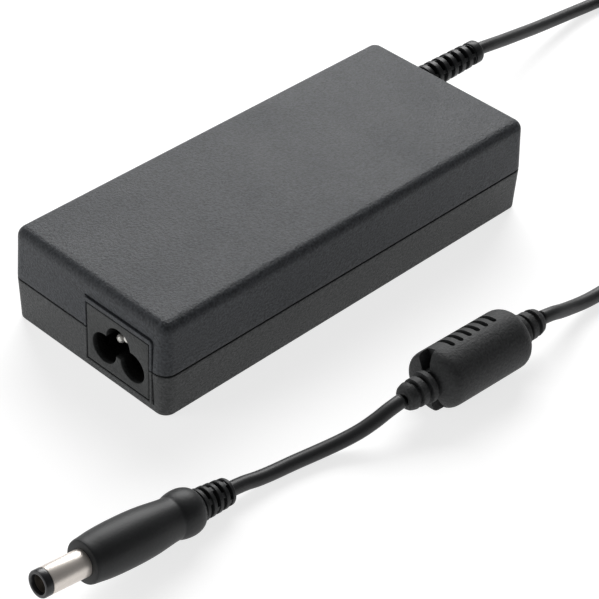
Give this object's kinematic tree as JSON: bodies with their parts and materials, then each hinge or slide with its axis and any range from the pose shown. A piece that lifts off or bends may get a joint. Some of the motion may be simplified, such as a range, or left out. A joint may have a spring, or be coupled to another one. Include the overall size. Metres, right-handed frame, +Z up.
{
  "type": "laptop power adapter",
  "caption": "Rectangular mains power brick with a cloverleaf inlet, a moulded output cord with a ferrite bead, and a round barrel plug.",
  "frame": {"origin": "centre of the brick's underside, on the surface the brick, cord, bead and plug rest on", "axes": "+X along the brick from the mains inlet end to the cord end, +Y towards the long side away from the plug, +Z up"},
  "size_m": [0.314, 0.1045, 0.0274],
  "materials": {
    "case_upper": "fine spark-eroded grain, satin sheen",
    "case_lower": "fine spark-eroded grain, satin sheen",
    "label": "blank printed film",
    "inlet_plastic": "moulded, satin",
    "contact_brass": "nickel plated, bright",
    "wire_brown": "insulation",
    "wire_blue": "insulation",
    "wire_green": "insulation",
    "wire_red": "insulation",
    "wire_black": "insulation",
    "wire_white": "insulation",
    "shield_metal": "rolled sheet",
    "insulating_film": "translucent sheet",
    "board": "solder mask over laminate",
    "fuse_body": "glazed tube",
    "dark_green_disc": "dipped coating",
    "blue_disc": "dipped coating",
    "yellow_block": "moulded box",
    "ferrite": "ground ferrite",
    "copper_wire": "enamelled copper",
    "black_epoxy": "moulded epoxy",
    "can_sleeve": "shrink sleeve",
    "heatsink_metal": "stamped sheet",
    "bobbin_plastic": "moulded",
    "yellow_tape": "wrapped tape",
    "white_epoxy": "moulded",
    "output_can": "shrink sleeve",
    "cord_mould": "moulded, satin",
    "cord_jacket": "extruded jacket, soft sheen",
    "tie_plastic": "strap",
    "bead_plastic": "moulded, satin",
    "plug_mould": "moulded, satin",
    "plug_metal": "nickel plate",
    "plug_black": "moulded",
    "insulator_plastic": "moulded"
  },
  "bodies": {
    "root": {"bottom_cover": "case_lower", "top_cover": "case_upper", "rating_label": "label", "inlet_housing": "inlet_plastic", "line_pin": "contact_brass", "neutral_pin": "contact_brass", "earth_pin": "contact_brass", "line_wire": "wire_brown", "neutral_wire": "wire_blue", "earth_wire": "wire_green", "lower_shield": "shield_metal", "upper_shield": "shield_metal", "insulating_sheet": "insulating_film", "circuit_board": "board", "fuse": "fuse_body", "thermistor": "dark_green_disc", "varistor": "blue_disc", "x_capacitor": "yellow_block", "choke_core": "ferrite", "choke_winding_a": "copper_wire", "choke_winding_b": "copper_wire", "bridge_rectifier": "black_epoxy", "bulk_capacitor": "can_sleeve", "primary_heatsink": "heatsink_metal", "switch_transistor": "black_epoxy", "transformer_bobbin": "bobbin_plastic", "transformer_core": "ferrite", "transformer_winding": "yellow_tape", "y_capacitor": "blue_disc", "optocoupler": "white_epoxy", "controller_chip": "black_epoxy", "secondary_heatsink": "heatsink_metal", "output_rectifier": "black_epoxy", "output_capacitor_a": "output_can", "output_capacitor_b": "output_can", "output_capacitor_c": "output_can", "output_choke": "copper_wire", "dc_wire_plus": "wire_red", "dc_wire_return": "wire_black", "dc_wire_sense": "wire_white", "cord_gland": "cord_mould", "cord_lead": "cord_jacket", "cord_coil": "cord_jacket", "cord_tie": "tie_plastic", "cord_tail": "cord_jacket", "ferrite_core": "ferrite", "bead_cover": "bead_plastic", "plug_grip": "plug_mould", "plug_barrel": "plug_metal", "plug_tip_ring": "plug_black", "plug_contact": "plug_metal", "plug_insulator": "insulator_plastic", "plug_centre_pin": "plug_metal"}
  },
  "joints": []
}
